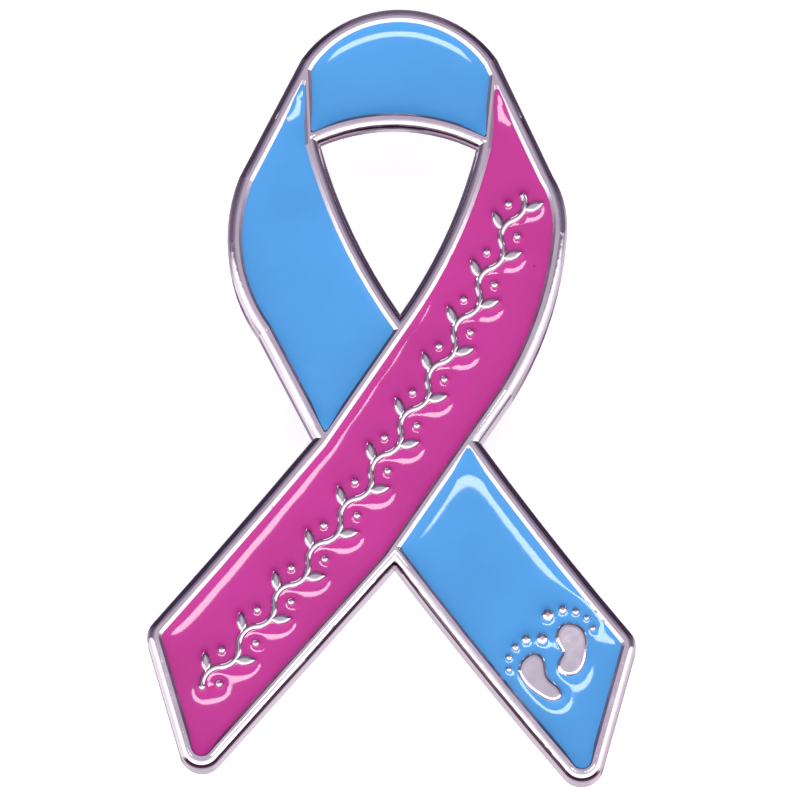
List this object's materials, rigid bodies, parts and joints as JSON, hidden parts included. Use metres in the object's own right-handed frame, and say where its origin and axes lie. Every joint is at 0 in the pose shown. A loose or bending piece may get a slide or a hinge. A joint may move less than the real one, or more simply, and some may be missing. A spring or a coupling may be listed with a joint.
{
  "type": "awareness ribbon pin",
  "caption": "Flat ribbon pin with a loop and crossed tails, raised metal lines round glossy enamel cells, a raised vine and footprints, a tack post and a round clutch.",
  "frame": {"origin": "on the surface that the clutch stands on, below the middle of the ribbon", "axes": "+Z out of the ribbon's face, +Y towards its loop, +X to its right as its face is seen"},
  "size_m": [0.0184, 0.03, 0.0081],
  "materials": {
    "plate_metal": "bright nickel plate over struck iron, with faintly worn raised lines and a softly grained back",
    "enamel_blue": "glossy sky-blue soft enamel, dished between the lines",
    "enamel_magenta": "glossy magenta soft enamel, dished between the lines",
    "clutch_metal": "satin nickel plate"
  },
  "bodies": {
    "root": {"ribbon_plate": "plate_metal", "enamel_loop": "enamel_blue", "enamel_strand": "enamel_blue", "enamel_band": "enamel_magenta", "enamel_tail": "enamel_blue", "clutch": "clutch_metal"}
  },
  "joints": []
}
